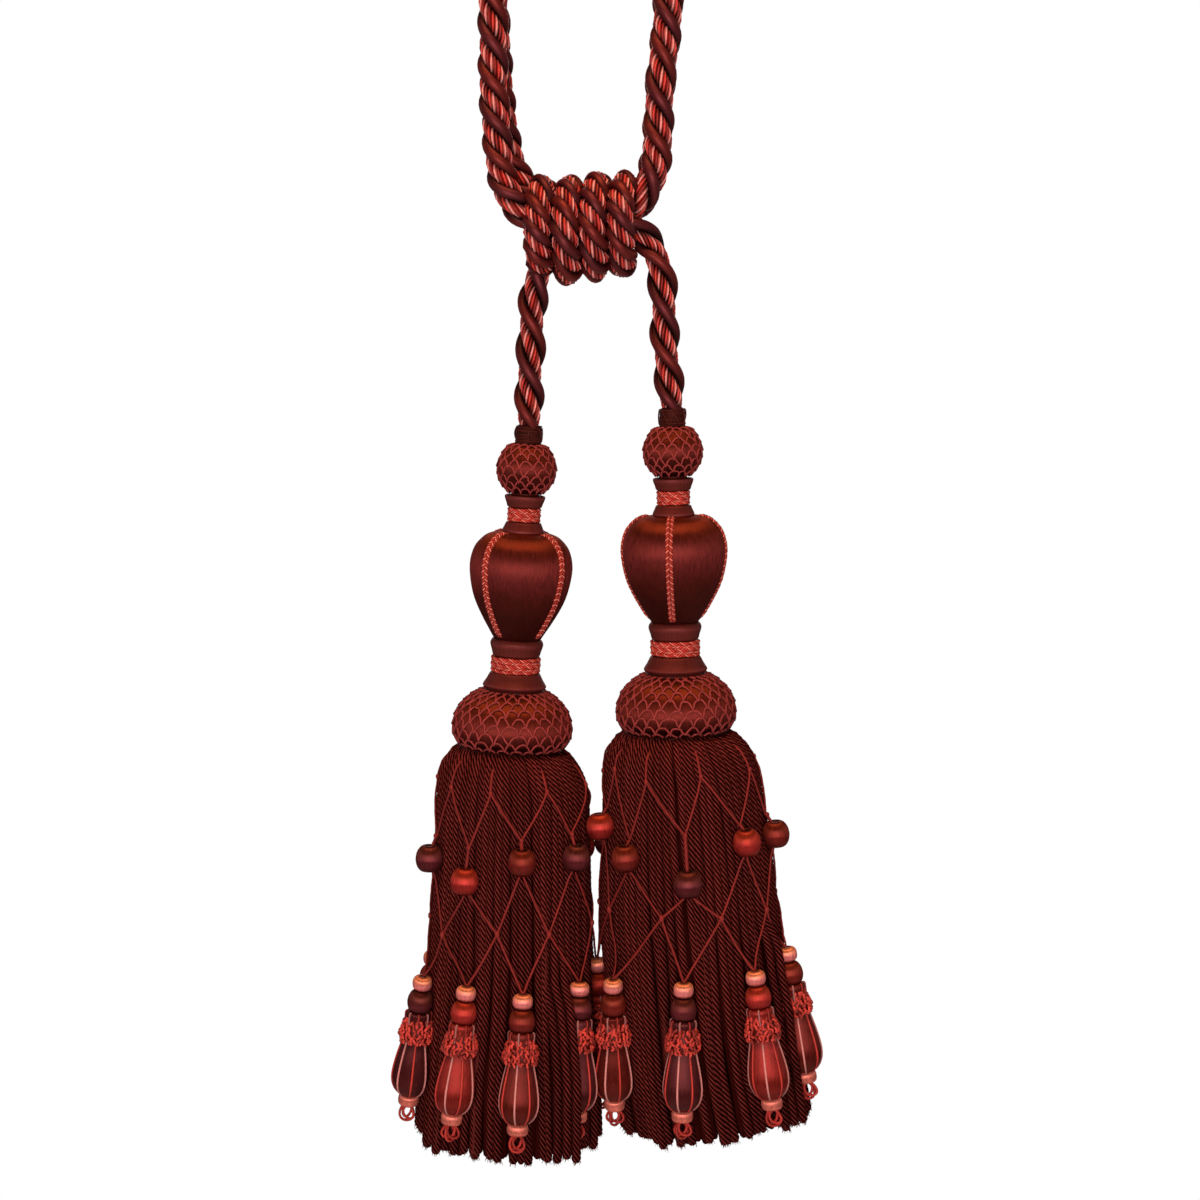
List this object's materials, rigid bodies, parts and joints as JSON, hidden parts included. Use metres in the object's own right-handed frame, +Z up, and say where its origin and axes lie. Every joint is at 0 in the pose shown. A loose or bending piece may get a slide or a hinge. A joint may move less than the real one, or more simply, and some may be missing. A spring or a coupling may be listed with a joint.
{
  "type": "curtain tieback tassel",
  "caption": "Hanging curtain tieback: a doubled twisted rope loop, a wound knot, and beaded tassels with netted heads, gimp-ribbed urns and long corded skirts.",
  "frame": {"origin": "underside of the rope arch, midway between its front and rear rope, where the hook bears", "axes": "+Z up, +X to the right as seen from the front, -Y towards the viewer"},
  "size_m": [0.1738, 0.0995, 0.5164],
  "materials": {
    "rope": "satin thread, four-strand twist",
    "satin": "satin thread wrapping",
    "collar": "dark satin thread wrapping",
    "gimp": "coral and pink twisted gimp",
    "net": "knotted thread net over satin",
    "cord": "dark twisted viscose cords",
    "plum": "satin thread",
    "coral": "satin thread",
    "maroon": "satin thread"
  },
  "bodies": {
    "root": {"left_ball": "net", "left_binding": "rope", "left_collar": "collar", "left_collar_gimp": "gimp", "left_cushion": "net", "left_foot": "collar", "left_foot_gimp": "gimp", "left_pendant_1": "plum", "left_pendant_2": "coral", "left_pendant_3": "maroon", "left_pendant_4": "plum", "left_pendant_5": "coral", "left_pendant_6": "maroon", "left_pendant_7": "plum", "left_pendant_8": "coral", "left_pendant_9": "maroon", "left_rib_1": "gimp", "left_rib_2": "gimp", "left_rib_3": "gimp", "left_rib_4": "gimp", "left_skirt": "cord", "left_urn": "satin", "right_ball": "net", "right_binding": "rope", "right_collar": "collar", "right_collar_gimp": "gimp", "right_cushion": "net", "right_foot": "collar", "right_foot_gimp": "gimp", "right_pendant_1": "maroon", "right_pendant_2": "plum", "right_pendant_3": "coral", "right_pendant_4": "maroon", "right_pendant_5": "plum", "right_pendant_6": "coral", "right_pendant_7": "maroon", "right_pendant_8": "plum", "right_pendant_9": "coral", "right_rib_1": "gimp", "right_rib_2": "gimp", "right_rib_3": "gimp", "right_rib_4": "gimp", "right_skirt": "cord", "right_urn": "satin", "rope_drop_left": "rope", "rope_drop_right": "rope", "rope_loop_front": "rope", "rope_loop_rear": "rope", "wound_knot": "rope"}
  },
  "joints": []
}
